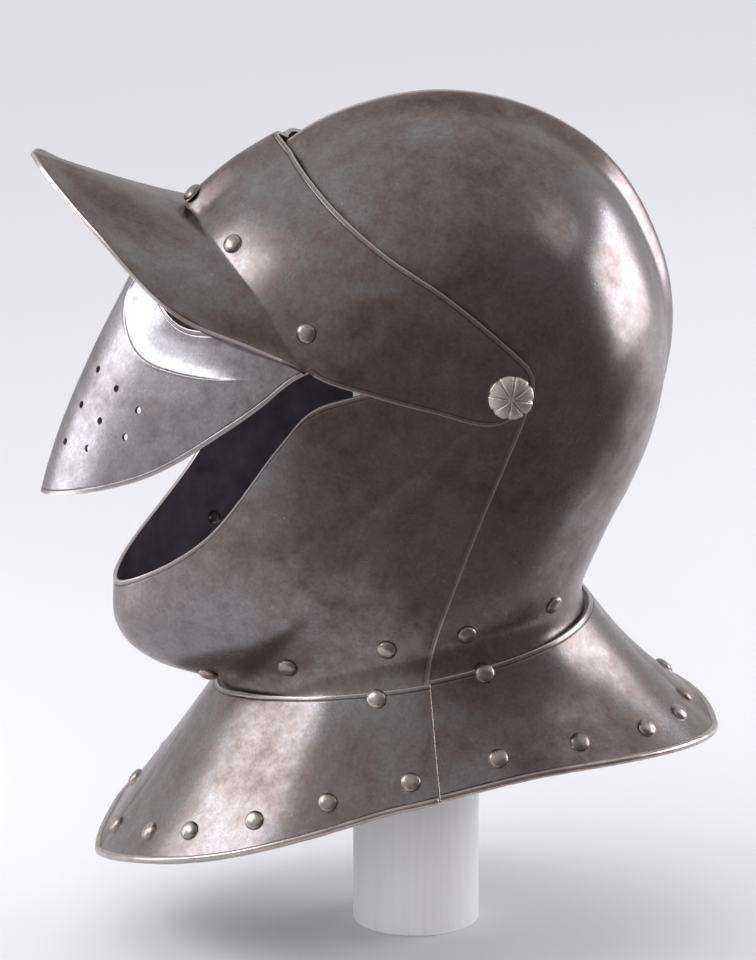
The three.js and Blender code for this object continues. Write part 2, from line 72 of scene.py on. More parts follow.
GUARD = {
    "half": 95.5,
    "nose": 1.5,
    "rows": [
        (150, 160, 2.4, 0), (160, 163.5, 2.4, 0), (168.6, 168.5, 2.4, 0), (175.8, 175.9, 2.4, 0),
        (183.6, 187.3, 2.4, 0), (191.5, 202.6, 2.4, 0), (198.7, 218.8, 2.4, 0), (205, 235, 2.4, 0),
    ],
}
BAND = {
    "half": 98.0,
    "rows": [
        (60, 114, 2.2, 3), (100, 121, 2.2, 5), (120, 126, 2.2, 6.5), (134.6, 132.6, 2.2, 7),
        (145, 141.5, 2.2, 6.5), (154.8, 150, 2.2, 6), (165, 159, 2.2, 5), (176, 168, 2.2, 4),
        (200, 175, 2.2, 4),
    ],
}

# Plate edges from the tab behind the pivot to the middle. Columns: radius from the pivot axis, angle.
BAND_UPPER = [(11.8, 325), (14.5, 48), (28, 101), (57.6, 122.4), (86, 131), (112, 133.8),
              (137.2, 134.6)]
BAND_LOWER = [(11.8, 325), (16.4, 236), (37.1, 190.6), (63.8, 179.4), (93.7, 173.2), (121.9, 160.2),
              (152.6, 154.9)]
GUARD_UPPER = [(11, 345), (11, 75), (40, 150), (85, 156), (115, 166), (150, 171.8), (167.5, 166)]
GUARD_LOWER = [(11, 345), (12, 255), (36.7, 186.2), (64, 177), (85, 173), (97, 177), (112.4, 184.4),
               (131.2, 190), (168.7, 196.3), (219, 198.8)]
BEVOR_UPPER = [(11, 350), (11, 80), (40, 172), (68, 181.4), (90, 186.8), (107.5, 195.4),
               (155.7, 209.8), (207.5, 213)]
BEVOR_SEAM = [(11, 350), (14.1, 302), (36, 267), (62.3, 259.2), (84.1, 257.1), (122.7, 255.7),
              (149.6, 256.1)]

# Raised line round the eyes on the face guard, and its breaths. Columns: radius from the pivot axis, angle.
EYE_RIDGE = [(162, 164), (167.8, 169.2), (169.9, 171.7), (170.5, 174.3), (169.3, 176.4), (166.5, 178.2),
             (161.2, 179.4), (152.8, 179.8), (142.6, 179.9), (131.3, 179.6), (118.6, 178.6), (100, 176.9)]
BREATHS = [(181.8, 182.6), (190.9, 187.6), (201.3, 192.4), (175, 184.2), (184.2, 188.9), (192.4, 192.6),
           (166.9, 186.6), (174.7, 190.6)]

# Rim of the peak from its point to the side. Columns: x, half width, z.
PEAK_RIM = [(-176.5, 0, 375.5), (-172.2, 16.4, 371.8), (-161, 36, 361), (-150, 52.7, 351), (-137, 67, 337.7),
            (-123, 75, 324.5), (-107, 80, 315.2), (-84.4, 84.5, 306.5), (-62, 86.5, 296)]

# Lower edge of the collars. Columns: angle from the front round the neck, height.
COLLAR_EDGE = [(0, 36.3), (10, 41.2), (20, 47), (40, 58.2), (60, 71.3), (80, 83.8), (97, 91.3),
               (120, 99), (140, 100), (160, 97), (180, 91)]
COLLAR_FRONT, COLLAR_SIDE, COLLAR_REAR = 140.0, 101.0, 147.0
COLLAR_CLEARANCE, HOLLOW_FRONT, HOLLOW_REAR = 2.4, 1.0, 4.5
FRONT_SEAM, REAR_SEAM = 95.4, 91.0
BEAD_RADIUS = 1.9


# Shape helpers
def mix(a, b, share):
    return a + (b - a) * share


def smooth(value, low, high):
    share = min(max((value - low) / (high - low), 0.0), 1.0)
    return share * share * (3 - 2 * share)


def sample(rows, key):
    """A smooth value from a table, with the first column as the key."""
    last = len(rows) - 1
    at = min(max(key, rows[0][0]), rows[last][0])
    i = 0
    while i < last - 1 and rows[i + 1][0] <= at:
        i += 1
    span = rows[i + 1][0] - rows[i][0]
    t = (at - rows[i][0]) / span

    def slope(k, column):
        a, b = rows[max(k - 1, 0)], rows[min(k + 1, last)]
        return (b[column] - a[column]) / (b[0] - a[0])

    values = []
    for column, value in enumerate(rows[i]):
        start = (2 * t**3 - 3 * t**2 + 1) * value + (t**3 - 2 * t**2 + t) * span * slope(i, column)
        end = (3 * t**2 - 2 * t**3) * rows[i + 1][column] + (t**3 - t**2) * span * slope(i + 1, column)
        values.append(start + end)
    return values


def polar(plate, flat):
    first = plate["rows"][0][0] - 30
    angle = math.degrees(math.atan2(flat.y - PIVOT.y, flat.x - PIVOT.x))
    return (flat - PIVOT).length, first + (angle - first) % 360


def around_pivot(radius, angle):
    turn = math.radians(angle)
    return Vector((PIVOT.x + radius * math.cos(turn), PIVOT.y + radius * math.sin(turn)))


def half_width(plate, flat):
    """Half width of a plate over a point of the side view."""
    radius, angle = polar(plate, flat)
    _, reach, power, _ = sample(plate["rows"], angle)
    q = radius / reach
    if q > 1 - 1e-7:
        return 0.0
    return plate["half"] * (1 - q**power) ** (1 / plate.get("nose", power))


def neck_height(x):
    return NECK_Z + NECK_SLOPE * (x - NECK_X)


def flare_at(x, y):
    """The plates flare out less at the throat than at the sides of the neck."""
    around = math.degrees(math.atan2(abs(y), NECK_X - x))
    return mix(THROAT_FLARE, FLARE, smooth(around, 15, 60))


def lift(plate, flat):
    """The left half's point of a plate over a point of the side view, with its comb and neck flare."""
    radius, angle = polar(plate, flat)
    point = Vector((flat.x, -half_width(plate, flat), flat.y))
    comb = sample(plate["rows"], angle)[3]
    if comb > 0 and -point.y < COMB_HALF:
        rise = comb * 0.5 * (1 + math.cos(math.pi * point.y / COMB_HALF))
        point.x += rise * (flat.x - PIVOT.x) / radius
        point.z += rise * (flat.y - PIVOT.y) / radius
    above = flat.y - neck_height(flat.x)
    if above < FLARE_RISE:
        out = Vector((point.x - NECK_X, point.y)).normalized()
        spread = flare_at(point.x, point.y) * (1 - above / FLARE_RISE) ** 2
        point.x += spread * out.x
        point.y += spread * out.y
    return point


def spline(points):
    """A centripetal curve through points, for shares from 0 to 1."""
    ends = [2 * points[0] - points[1], *points, 2 * points[-1] - points[-2]]

    def at(share):
        place = min(max(share, 0.0), 1.0) * (len(points) - 1)
        k = min(int(place), len(points) - 2)
        a, b, c, d = ends[k:k + 4]
        s = place - k
        da, db, dc = [max((q - p).length, 1e-6) ** 0.5 for p, q in ((a, b), (b, c), (c, d))]
        start = ((b - a) / da - (c - a) / (da + db) + (c - b) / db) * db
        end = ((c - b) / db - (d - b) / (db + dc) + (d - c) / dc) * db
        return b + s * start + s**2 * (3 * (c - b) - 2 * start - end) + s**3 * (2 * (b - c) + start + end)

    return at


def edge_curve(table):
    return spline([around_pivot(radius, angle) for radius, angle in table])


def patch(upper, lower, outer):
    """A patch of the side view between two edges from one tab to an outer edge."""
    first, last = upper(1), lower(1)

    def at(u, t):
        side = upper(t).lerp(lower(t), u)
        return side + (outer(u) - first.lerp(last, u)) * t

    return at


def middle_end(plate, upper_table, lower_table):
    """The outer end of a strip, on its plate's outline in the middle plane."""

    def at(u):
        angle = mix(upper_table[-1][1], lower_table[-1][1], u)
        return around_pivot(sample(plate["rows"], angle)[1], angle)

    return at


def towards_middle(share):
    return math.sin(share * math.pi / 2)


def outward_at(plate, flat):
    """Outward direction of a plate's left half over a point of the side view."""
    step = 0.4
    over_x = lift(plate, flat + Vector((step, 0))) - lift(plate, flat - Vector((step, 0)))
    over_z = lift(plate, flat + Vector((0, step))) - lift(plate, flat - Vector((0, step)))
    return over_x.cross(over_z).normalized()


def middle_out(plate, angle):
    """Outward direction of a plate's outline in the middle plane."""
    rows = plate["rows"]
    step = around_pivot(sample(rows, angle + 1)[1], angle + 1)
    back = around_pivot(sample(rows, angle - 1)[1], angle - 1)
    along = (step - back).normalized()
    return Vector((along.y, 0, -along.x))


def neck_end(plate, low, high):
    """The angle where a plate's outline in the middle plane meets the neck."""
    for _ in range(40):
        angle = (low + high) / 2
        point = around_pivot(sample(plate["rows"], angle)[1], angle)
        if point.y > neck_height(point.x):
            low = angle
        else:
            high = angle
    return low


# Surfaces of the plates in millimetres, over shares across and along each plate
NAPE_ANGLE, SKULL_BROW, SKULL_SEAM_X, SKULL_BACK_SHARE = -73.6, 160.0, -11.0, 21 / 26
SKULL_TAB = Vector((16.0, PIVOT.y))
skull_nape = neck_end(SKULL, NAPE_ANGLE + 12, NAPE_ANGLE - 12)


def on_neck(start, end, share):
    x = mix(start, end, share**2)
    return Vector((x, neck_height(x)))


def skull_outer(u):
    if u <= SKULL_BACK_SHARE:
        angle = mix(SKULL_BROW, skull_nape, u / SKULL_BACK_SHARE)
        return around_pivot(sample(SKULL["rows"], angle)[1], angle)
    nape = around_pivot(sample(SKULL["rows"], skull_nape)[1], skull_nape)
    return on_neck(nape.x, SKULL_SEAM_X, (u - SKULL_BACK_SHARE) / (1 - SKULL_BACK_SHARE))


def skull_surface(u, t):
    return lift(SKULL, SKULL_TAB.lerp(skull_outer(u), towards_middle(t)))


BEVOR_RIM, BEVOR_CHIN_SHARE = 213.0, 6 / 13
bevor_throat = neck_end(BEVOR, 226, 242)


def bevor_outer(u):
    if u <= BEVOR_CHIN_SHARE:
        angle = mix(BEVOR_RIM, bevor_throat, u / BEVOR_CHIN_SHARE)
        return around_pivot(sample(BEVOR["rows"], angle)[1], angle)
    throat = around_pivot(sample(BEVOR["rows"], bevor_throat)[1], bevor_throat)
    seam = around_pivot(*BEVOR_SEAM[-1])
    return on_neck(throat.x, seam.x, (u - BEVOR_CHIN_SHARE) / (1 - BEVOR_CHIN_SHARE))


bevor_flat = patch(edge_curve(BEVOR_UPPER), edge_curve(BEVOR_SEAM), bevor_outer)
band_flat = patch(edge_curve(BAND_UPPER), edge_curve(BAND_LOWER),
                  middle_end(BAND, BAND_UPPER, BAND_LOWER))
guard_flat = patch(edge_curve(GUARD_UPPER), edge_curve(GUARD_LOWER),
                   middle_end(GUARD, GUARD_UPPER, GUARD_LOWER))


def bevor_surface(u, t):
    return lift(BEVOR, bevor_flat(u, towards_middle(t)))


def band_surface(u, t):
    return lift(BAND, band_flat(u, towards_middle(t)))


def guard_surface(u, t):
    return lift(GUARD, guard_flat(u, towards_middle(t)))


PEAK_HOLLOW, FOLD_START = 6.0, 4 / 6
rim_curve = spline([Vector((x, -y, z)) for x, y, z in reversed(PEAK_RIM)])


def peak_surface(share, t):
    """The peak from the fold at the band's lower edge out to its rim, hollowed in between."""
    row = towards_middle(t)
    along = (row - FOLD_START) / (1 - FOLD_START)
    fold = lift(BAND, band_flat(1, row))
    rim = fold.lerp(rim_curve(along), smooth(along, -0.01, 0.1))
    point = fold.lerp(rim, share)
    point.z -= PEAK_HOLLOW * math.sin(math.pi * share) * smooth(along, 0, 0.3) * (1 - smooth(along, 0.8, 1))
    return point


def ring_reach(plate, around):
    """How far a point of the neck's ring lies from the neck's middle."""
    low, high = 20.0, 140.0
    turn = math.radians(around)
    for _ in range(26):
        reach = (low + high) / 2
        x = NECK_X - reach * math.cos(turn)
        if half_width(plate, Vector((x, neck_height(x)))) > reach * math.sin(turn) + 1e-9:
            low = reach
        else:
            high = reach
    return low


def edge_reach(around):
    along = COLLAR_FRONT if around < 90 else COLLAR_REAR
    turn = math.radians(around)
    power = mix(1.8, 2.2, smooth(around, 0, 35))
    total = abs(math.cos(turn) / along) ** power + abs(math.sin(turn) / COLLAR_SIDE) ** power
    return total ** (-1 / power)


ring_known = {}


def collar_point(plate, around, down, lap=0.0):
    key = (plate["half"], round(around, 4))
    if key not in ring_known:
        ring_known[key] = ring_reach(plate, around)
    ring = ring_known[key]
    turn = math.radians(around)
    radial = Vector((-math.cos(turn), -math.sin(turn), 0))
    top = radial * (ring + flare_at(NECK_X + radial.x, radial.y) + COLLAR_CLEARANCE)
    top.x += NECK_X
    top.z = neck_height(NECK_X + radial.x * ring) + mix(0.4, 2.5, smooth(around, 4, 24))
    edge = radial * edge_reach(around)
    edge.x += NECK_X
    edge.z = sample(COLLAR_EDGE, around)[1]
    hollow = mix(HOLLOW_FRONT, HOLLOW_REAR, smooth(around, 90, 140)) * math.sin(math.pi * down)
    push = lap * (0.15 + 0.85 * down) - hollow
    return top.lerp(edge, down) + radial * push


def front_collar_surface(down, share):
    around = share * FRONT_SEAM
    return collar_point(BEVOR, around, down, 2.3 * smooth(around, 78, 93))


def rear_collar_surface(down, share):
    return collar_point(SKULL, mix(REAR_SEAM, 180.0, share), down)


# Materials
def linear(code):
    """The linear colour of an sRGB hex value."""
    parts = [int(code[k:k + 2], 16) / 255 for k in (1, 3, 5)]
    return (*[p / 12.92 if p <= 0.04045 else ((p + 0.055) / 1.055) ** 2.4 for p in parts], 1.0)


def add(tree, kind, inputs=None, **settings):
    """Adds a node with its settings. An input is a value, or a socket to link."""
    node = tree.nodes.new(kind)
    for key, value in settings.items():
        setattr(node, key, value)
    for key, value in (inputs or {}).items():
        if isinstance(value, bpy.types.NodeSocket):
            tree.links.new(value, node.inputs[key])
        else:
            node.inputs[key].default_value = value
    return node


def per_mm(size):
    """A texture scale whose features are about this many millimetres across."""
    return 1 / (size * MM)


def new_material(name):
    material = bpy.data.materials.new(name)
    material.use_nodes = True
    material.node_tree.nodes.clear()
    return material, material.node_tree


def ramp(tree, factor, stops):
    node = add(tree, "ShaderNodeValToRGB", {"Fac": factor})
    points = node.color_ramp.elements
    while len(points) < len(stops):
        points.new(0.5)
    for point, (place, colour) in zip(points, stops):
        point.position = place
        point.color = colour if isinstance(colour, tuple) else (colour, colour, colour, 1)
    return node.outputs["Color"]


def patinated_steel(name, dark, mid, bright, rough, pits):
    """Forged steel plate, polished and then browned by age: smoky reflections, brown stains, small pits."""
    material, tree = new_material(name)
    place = add(tree, "ShaderNodeTexCoord").outputs["Object"]
    stain = add(tree, "ShaderNodeTexNoise",
                {"Vector": place, "Scale": per_mm(62), "Detail": 7.0, "Roughness": 0.62, "Distortion": 0.5})
    mottle = add(tree, "ShaderNodeTexNoise",
                 {"Vector": place, "Scale": per_mm(9), "Detail": 6.0, "Roughness": 0.7})
    grain = add(tree, "ShaderNodeTexNoise",
                {"Vector": place, "Scale": per_mm(1.6), "Detail": 4.0, "Roughness": 0.65})
    both = add(tree, "ShaderNodeMix",
               {"Factor": 0.38, "A": stain.outputs["Fac"], "B": mottle.outputs["Fac"]})
    tone = ramp(tree, both.outputs[0],
                [(0.37, linear(dark)), (0.5, linear(mid)), (0.65, linear(bright))])
    speck = ramp(tree, grain.outputs["Fac"], [(0.35, 0.86), (0.62, 1.06)])
    colour = add(tree, "ShaderNodeMix", {"Factor": 1.0, "A": tone, "B": speck},
                 data_type="RGBA", blend_type="MULTIPLY")
    rim = add(tree, "ShaderNodeAttribute", attribute_name="rim").outputs["Fac"]
    ragged = add(tree, "ShaderNodeMath", {0: mottle.outputs["Fac"], 1: 0.5, 2: -0.25},
                 operation="MULTIPLY_ADD")
    edge = add(tree, "ShaderNodeMath", {0: rim, 1: 0.45, 2: ragged.outputs[0]},
               operation="MULTIPLY_ADD")
    worn = ramp(tree, edge.outputs[0], [(0.2, 1.0), (0.42, 0.22), (0.95, 0.12), (1.0, 0.0)])
    worn_colour = add(tree, "ShaderNodeMix",
                      {"Factor": worn, "A": colour.outputs[2], "B": linear("#bbb3ae")}, data_type="RGBA")
    # Near black is mixed in along the incised lines, strongest at the middle of each line.
    line = add(tree, "ShaderNodeAttribute", attribute_name="line").outputs["Fac"]
    line_darkening = add(tree, "ShaderNodeMath", {0: line, 1: 0.8}, operation="MULTIPLY")
    lined = add(tree, "ShaderNodeMix",
                {"Factor": line_darkening.outputs[0], "A": worn_colour.outputs[2], "B": linear("#2a2324")},
                data_type="RGBA")
    shine = ramp(tree, both.outputs[0], [(0.3, rough + 0.1), (0.7, rough - 0.06)])
    pit = add(tree, "ShaderNodeTexVoronoi", {"Vector": place, "Scale": per_mm(7), "Randomness": 1.0})
    pit_mask = ramp(tree, pit.outputs["Distance"], [(0.02, 0.0), (0.11, 1.0)])
    where = ramp(tree, stain.outputs["Fac"], [(0.45, 1.0), (0.6, 1.0 - pits)])
    pitted = add(tree, "ShaderNodeMath", {0: pit_mask, 1: where}, operation="MAXIMUM")
    height = add(tree, "ShaderNodeMath", {0: grain.outputs["Fac"], 1: 0.16, 2: pitted.outputs[0]},
                 operation="MULTIPLY_ADD")
    bump = add(tree, "ShaderNodeBump",
               {"Height": height.outputs[0], "Strength": 0.22, "Distance": 0.25 * MM})
    shader = add(tree, "ShaderNodeBsdfPrincipled",
                 {"Base Color": lined.outputs[2], "Metallic": 1.0, "Roughness": shine,
                  "Normal": bump.outputs[0]})
    add(tree, "ShaderNodeOutputMaterial", {"Surface": shader.outputs[0]})
    return material


def blackened_steel(name):
    """The inside of the plates, left black from the forge: dull, with no clear reflection."""
    material, tree = new_material(name)
    place = add(tree, "ShaderNodeTexCoord").outputs["Object"]
    scale = add(tree, "ShaderNodeTexNoise", {"Vector": place, "Scale": per_mm(12), "Detail": 6.0})
    tone = ramp(tree, scale.outputs["Fac"], [(0.35, linear("#554e58")), (0.7, linear("#726b72"))])
    bump = add(tree, "ShaderNodeBump",
               {"Height": scale.outputs["Fac"], "Strength": 0.3, "Distance": 0.3 * MM})
    shader = add(tree, "ShaderNodeBsdfPrincipled",
                 {"Base Color": tone, "Metallic": 0.25, "Roughness": 0.6, "Normal": bump.outputs[0]})
    add(tree, "ShaderNodeOutputMaterial", {"Surface": shader.outputs[0]})
    return material


def brushed_paint(name):
    """White wall paint brushed on wood: chalky, with faint upright streaks from the brush."""
    material, tree = new_material(name)
    place = add(tree, "ShaderNodeTexCoord").outputs["Object"]
    upright = add(tree, "ShaderNodeMapping", {"Vector": place, "Scale": (1.0, 1.0, 0.03)})
    streak = add(tree, "ShaderNodeTexNoise",
                 {"Vector": upright.outputs[0], "Scale": per_mm(2.4), "Detail": 5.0, "Roughness": 0.6})
    tone = ramp(tree, streak.outputs["Fac"], [(0.3, linear("#e8e8e7")), (0.7, linear("#f0f0ef"))])
    bump = add(tree, "ShaderNodeBump",
               {"Height": streak.outputs["Fac"], "Strength": 0.18, "Distance": 0.3 * MM})
    shader = add(tree, "ShaderNodeBsdfPrincipled",
                 {"Base Color": tone, "Roughness": 0.62, "Normal": bump.outputs[0]})
    add(tree, "ShaderNodeOutputMaterial", {"Surface": shader.outputs[0]})
    return material


# The plates reflect like smoked glass, the guard is rubbed brighter, and rivets and pivots are bare metal.
brown_steel = patinated_steel("browned_forged_steel", "#655955", "#7c7371", "#8a898b", 0.27, 0.9)
guard_steel = patinated_steel("burnished_forged_steel", "#7b7475", "#9a9698", "#aba9ac", 0.25, 0.5)
rivet_steel = patinated_steel("worn_rivet_steel", "#7a716c", "#a19892", "#bbb3ad", 0.3, 0.6)
rosette_steel = patinated_steel("bright_filed_steel", "#b3aba5", "#cbc5bf", "#dcd6d0", 0.42, 0.2)
inner_black = blackened_steel("forge_black_steel")
white_paint = brushed_paint("brushed_white_paint")


# Pieces
def finish_piece(name, bm, materials, body, nodes):
    mesh = bpy.data.meshes.new(name)
    bm.to_mesh(mesh)
    bm.free()
    for polygon in mesh.polygons:
        polygon.use_smooth = True
    for material in materials:
        mesh.materials.append(material)
    piece = bpy.data.objects.new(name, mesh)
    bpy.context.scene.collection.objects.link(piece)
    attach(piece, body)
    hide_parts(*nodes)
    return piece


def across_at(surface, along, near, far, between):
    """Points across a plate at set distances in from each edge, with the distance to the nearer edge."""
    fine = [surface(k / 90, along) for k in range(91)]
    reach = [0.0]
    for a, b in zip(fine, fine[1:]):
        reach.append(reach[-1] + (b - a).length)
    total = reach[-1]
    squeeze = min(1.0, 0.4 * total / max(near[-1], far[-1], 1e-6))
    first, last = near[-1] * squeeze, total - far[-1] * squeeze
    stops = [d * squeeze for d in near]
    stops += [mix(first, last, k / (between + 1)) for k in range(1, between + 1)]
    stops += [total - d * squeeze for d in reversed(far)]
    points = []
    k = 0
    for stop in stops:
        while k < 89 and reach[k + 1] < stop:
            k += 1
        span = max(reach[k + 1] - reach[k], 1e-9)
        share = min(max((stop - reach[k]) / span, 0.0), 1.0)
        points.append((surface((k + share) / 90, along), stop, total - stop))
    return points


NO_BORDER = 99.0
EDGE_ROWS = [0, 0.7, 1.3, 1.8, 2.1, 2.4, 2.7, 3.0, 3.5, 4.5, 6.5]
PLAIN_ROWS = [0, 0.8, 2.0]
INCISED_AT, INCISED_HALF, INCISED_DEPTH = 2.4, 0.3, 0.2


def forged(place):
    """Slight unevenness left by the hammer, in millimetres."""
    broad = noise.noise(place / 24)
    return 0.16 * broad + 0.05 * noise.noise(place / 8)


def new_sheet():
    """An empty mesh that keeps distances to the plate's edges in millimetres, and where its lines are."""
    bm = bmesh.new()
    for name in ("start", "end", "rim", "line"):
        bm.verts.layers.float.new(name)
    return bm


def add_sheet(bm, surface, columns, near, far, between, first=0, borders=(True, True)):
    """A grid over a surface, from a first column on, that keeps each point's distance to both edges."""
    rows = len(near) + len(far) + between
    made = bmesh.ops.create_grid(bm, x_segments=columns - first, y_segments=rows - 1, size=0.5)["verts"]
    layers = [bm.verts.layers.float[name] for name in ("start", "end")]
    lines = [across_at(surface, k / columns, near, far, between) for k in range(first, columns + 1)]
    for v in made:
        column, row = round((v.co.x + 0.5) * (columns - first)), round((v.co.y + 0.5) * (rows - 1))
        v.co, *distances = lines[column][row]
        if abs(v.co.y) < 0.02:
            v.co.y = 0.0
        for layer, distance, border in zip(layers, distances, borders):
            v[layer] = distance if border else NO_BORDER


def mirror_sheet(bm):
    bmesh.ops.mirror(bm, geom=bm.verts[:] + bm.edges[:] + bm.faces[:], axis="Y", merge_dist=0.003)
    bmesh.ops.remove_doubles(bm, verts=bm.verts[:], dist=0.01)
    bmesh.ops.recalc_face_normals(bm, faces=bm.faces[:])
    if sum(f.normal.y * f.calc_center_median().y for f in bm.faces) < 0:
        bmesh.ops.reverse_faces(bm, faces=bm.faces[:])
    bm.normal_update()


def thicken(bm, relief, thickness):
    """Gives a sheet its relief, its thickness and rounded rims, with the inside as a second material."""
    start, end = bm.verts.layers.float["start"], bm.verts.layers.float["end"]
    rim, line = bm.verts.layers.float["rim"], bm.verts.layers.float["line"]
    for v in bm.verts:
        height, v[line] = relief(v.co, v[start], v[end])
        v[rim] = min(v[start], v[end])
        step = v.normal * (forged(v.co) + height - INCISED_DEPTH * v[line])
        if abs(v.co.y) < 1e-6:
            step.y = 0.0
        v.co += step
    outer_faces, outer_verts = set(bm.faces), set(bm.verts)
    bmesh.ops.solidify(bm, geom=bm.faces[:], thickness=thickness)
    rim_faces = set()
    for face in bm.faces:
        if face in outer_faces:
            continue
        if any(v in outer_verts for v in face.verts):
            rim_faces.add(face)
        else:
            face.material_index = 1
    sharp = [e for e in bm.edges if len(e.link_faces) == 2
             and (e.link_faces[0] in rim_faces) != (e.link_faces[1] in rim_faces)]
    bmesh.ops.bevel(bm, geom=sharp, offset=0.4, offset_type="OFFSET", segments=2, profile=0.5,
                    affect="EDGES", material=-1, clamp_overlap=True)


def finish_plate(node, bm, finish, body):
    bmesh.ops.scale(bm, vec=(MM, MM, MM), verts=bm.verts[:])
    return finish_piece(node + "_plate", bm, [finish, inner_black], body, [node])


def plate(node, surface, columns, between, near, far, relief, thickness, finish, body, slot):
    bm = new_sheet()
    add_sheet(bm, surface, columns, near, far, between)
    mirror_sheet(bm)
    thicken(bm, relief, thickness)
    return finish_plate(node, bm, finish, body)


# Relief of a plate: a height in millimetres and how strong an incised line is, from the edge distances
def incised(distance):
    return math.exp(-(((distance - INCISED_AT) / INCISED_HALF) ** 2))


def plain(place, start, end):
    return 0.0, 0.0


def both_incised(place, start, end):
    return 0.0, incised(start) + incised(end)


def rim_incised(place, start, end):
    return 0.0, incised(start) + 0.3 * incised(end)


def start_incised(place, start, end):
    return 0.0, incised(start)


ridge_points = [lift(GUARD, around_pivot(r, a)) for r, a in EYE_RIDGE]
ridge_curve = spline(ridge_points)
ridge_line = [ridge_curve(k / 60) for k in range(61)]
EYE_SINK, EYE_SLOPE, EYE_LIP = 1.7, 3.5, 0.22


def from_ridge(place):
    """Distance above the raised line, negative below it, and the share of the way along it."""
    point = Vector((place.x, -abs(place.y), place.z))
    best = None
    for k, (a, b) in enumerate(zip(ridge_line, ridge_line[1:])):
        share = min(max((point - a).dot(b - a) / (b - a).length_squared, 0.0), 1.0)
        distance = (point - a.lerp(b, share)).length
        if best is None or distance < best[0]:
            side = (b.x - a.x) * (point.z - a.z) - (b.z - a.z) * (point.x - a.x)
            best = (distance, 1 if side > 0 else -1, (k + share) / 60)
    return best[0] * best[1], best[2]


def guard_relief(place, start, end):
    """The eye part falls away behind a sharp line, and the eye cut and the lower edge have lines too."""
    signed, along = from_ridge(place)
    fade = 1 - smooth(along, 0.72, 0.98)
    inside = max(signed, 0.0)
    sink = EYE_SINK * (1 - math.exp(-inside / EYE_SLOPE)) * (1 - smooth(inside, 14, 34))
    lip = EYE_LIP * math.exp(-((signed / 0.5) ** 2))
    eye_cut = smooth((Vector((place.x, place.z)) - PIVOT).length, 118, 135)
    return fade * (lip - sink), incised(end) + incised(start) * eye_cut


skull = plate("skull", lambda a, b: skull_surface(b, a), 170, 64, [0, 1], PLAIN_ROWS, plain, PLATE,
              brown_steel, "skull_body", "dark_steel")
bevor = plate("bevor", bevor_surface, 90, 70, EDGE_ROWS, EDGE_ROWS, rim_incised, PLATE,
              brown_steel, "bevor_body", "dark_steel")


def face_guard():
    bm = new_sheet()
    add_sheet(bm, guard_surface, 130, EDGE_ROWS, EDGE_ROWS, 64)
    mirror_sheet(bm)
    start, end = bm.verts.layers.float["start"], bm.verts.layers.float["end"]
    close = {v for v in bm.verts if min(v[start], v[end]) > EDGE_ROWS[-1] and abs(from_ridge(v.co)[0]) < 5}
    bmesh.ops.subdivide_edges(bm, edges=[e for e in bm.edges if close.issuperset(e.verts)], cuts=2,
                              use_grid_fill=True)
    bm.normal_update()
    thicken(bm, guard_relief, 1.6)
    return finish_plate("face_guard", bm, guard_steel, "visor_body")


# Brow band and peak, one plate with a fold that is soft in the middle and sharp at the sides
BAND_COLUMNS = 120


def from_fold(place, fold):
    """Distance of a point from the fold, and the share of the way along it."""
    point = Vector((place.x, -abs(place.y), place.z))
    nearest = min(range(len(fold)), key=lambda k: (fold[k] - point).length_squared)
    return (fold[nearest] - point).length, nearest / len(fold)


def brow_band():
    bm = new_sheet()
    fold_column = math.ceil(BAND_COLUMNS * math.asin(FOLD_START) * 2 / math.pi)
    add_sheet(bm, band_surface, BAND_COLUMNS, EDGE_ROWS, EDGE_ROWS, 24)
    end = bm.verts.layers.float["end"]
    fold = [peak_surface(0, k / BAND_COLUMNS) for k in range(fold_column, BAND_COLUMNS + 1)]
    for v in bm.verts:
        if v.co.x < fold[0].x and v[end] < EDGE_ROWS[-1]:
            v[end] = NO_BORDER
    add_sheet(bm, peak_surface, BAND_COLUMNS, [0, 0.5, 1, 1.6, 2.4, 3.4, 5], EDGE_ROWS, 36,
              first=fold_column, borders=(False, True))
    mirror_sheet(bm)
    soft = []
    for v in bm.verts:
        distance, along = from_fold(v.co, fold)
        if distance <= 3:
            v[end] = max(v[end], 4.0)
        if not v.is_boundary and distance < mix(0.8, 6.5, smooth(along, 0.3, 0.95)):
            soft.append(v)
    for _ in range(8):
        bmesh.ops.smooth_vert(bm, verts=soft, factor=0.5, use_axis_x=True, use_axis_y=True,
                              use_axis_z=True)
    bm.normal_update()
    thicken(bm, both_incised, PLATE)
    return finish_plate("brow_band", bm, brown_steel, "visor_body")


guard = face_guard()
brow_band()


# Collars with their rolled lower edges
def add_bead(bm, surface, middle):
    """A roll along the lower edge of a collar, round the middle from one seam to the other."""
    along, round_steps = 200, 14
    made = bmesh.ops.create_grid(bm, x_segments=along, y_segments=round_steps, size=0.5)["verts"]
    rim = bm.verts.layers.float["rim"]
    for v in made:
        place, turn = v.co.x * 2, (v.co.y + 0.5) * 2 * math.pi
        share = abs(place)
        where = share if middle == "start" else 1 - share
        tip = surface(1.0, where)
        down = (tip - surface(0.97, where)).normalized()
        ahead = surface(1.0, min(where + 0.01, 1.0)) - surface(1.0, max(where - 0.01, 0.0))
        out = ahead.cross(down).normalized()
        if out.dot(Vector((tip.x - NECK_X, tip.y, 0))) < 0:
            out.negate()
        radius = 0.0 if share > 0.9999 else BEAD_RADIUS * (1 + 0.07 * noise.noise(tip / 6))
        point = tip - out * 0.5 - down * 1.1 + radius * (math.cos(turn) * out + math.sin(turn) * down)
        v.co = Vector((point.x, point.y if place < 0 else -point.y, point.z))
        v[rim] = 0.55
    bmesh.ops.remove_doubles(bm, verts=made, dist=0.001)
    faces = {f for v in made if v.is_valid for f in v.link_faces}
    bmesh.ops.recalc_face_normals(bm, faces=list(faces))


